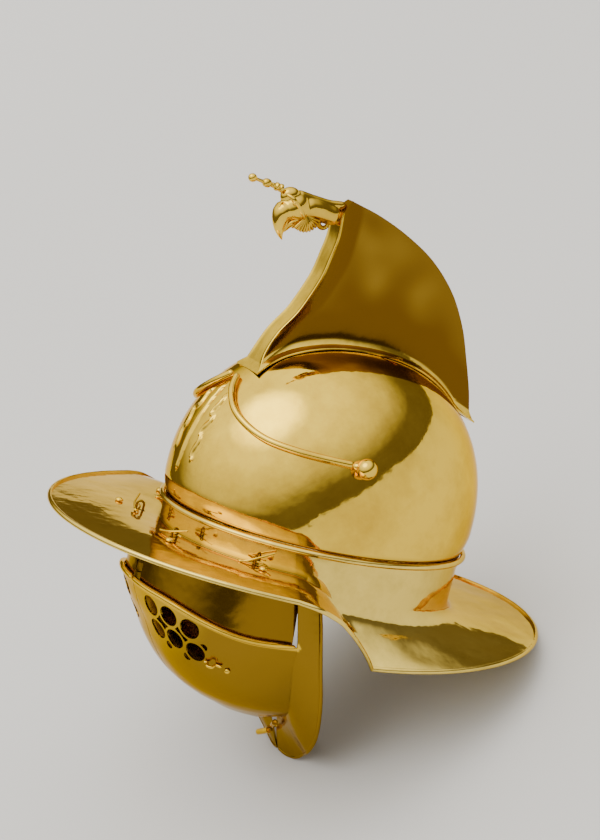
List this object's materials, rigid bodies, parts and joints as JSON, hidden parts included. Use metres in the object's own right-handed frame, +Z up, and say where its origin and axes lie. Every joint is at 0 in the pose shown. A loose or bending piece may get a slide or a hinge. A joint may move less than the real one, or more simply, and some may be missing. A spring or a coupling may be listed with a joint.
{
  "type": "thraex gladiator helmet",
  "caption": "Brass gladiator helmet with a hollow dome, a tall crest ending in a griffin's head, a wide stepped brim and a pierced visor in halves",
  "frame": {"origin": "middle of the floor under the helmet's bounding box, as it stands on its chin and the neck guard's rim", "axes": "+Z up, -Y the way the wearer faces, +X the wearer's left; the helmet leans back as it rests"},
  "size_m": [0.325, 0.3404, 0.4234],
  "materials": {
    "dome_brass": "polished, warm gold",
    "rim_brass": "polished, paler gold, faint hand-finishing marks",
    "crest_brass": "polished, deep amber gold",
    "visor_brass": "polished, darker gold in the shade of the brim",
    "fitting_brass": "polished wire and rivets"
  },
  "bodies": {
    "root": {"dome": "dome_brass", "base_bead": "rim_brass", "brim": "rim_brass", "crest": "crest_brass", "griffin_head": "dome_brass", "griffin_spike": "dome_brass", "brow_roll_left": "dome_brass", "visor_half_left": "visor_brass", "upper_plate_left": "visor_brass", "hairpin_front_left": "fitting_brass", "brim_rivet_front_left": "fitting_brass", "hairpin_side_left": "fitting_brass", "brim_rivet_side_left": "fitting_brass", "visor_clip_left": "fitting_brass", "clip_rivet_left": "fitting_brass", "chin_catch_left": "fitting_brass", "brow_roll_right": "dome_brass", "visor_half_right": "visor_brass", "upper_plate_right": "visor_brass", "hairpin_front_right": "fitting_brass", "brim_rivet_front_right": "fitting_brass", "hairpin_side_right": "fitting_brass", "brim_rivet_side_right": "fitting_brass", "visor_clip_right": "fitting_brass", "clip_rivet_right": "fitting_brass", "chin_catch_right": "fitting_brass"}
  },
  "joints": []
}
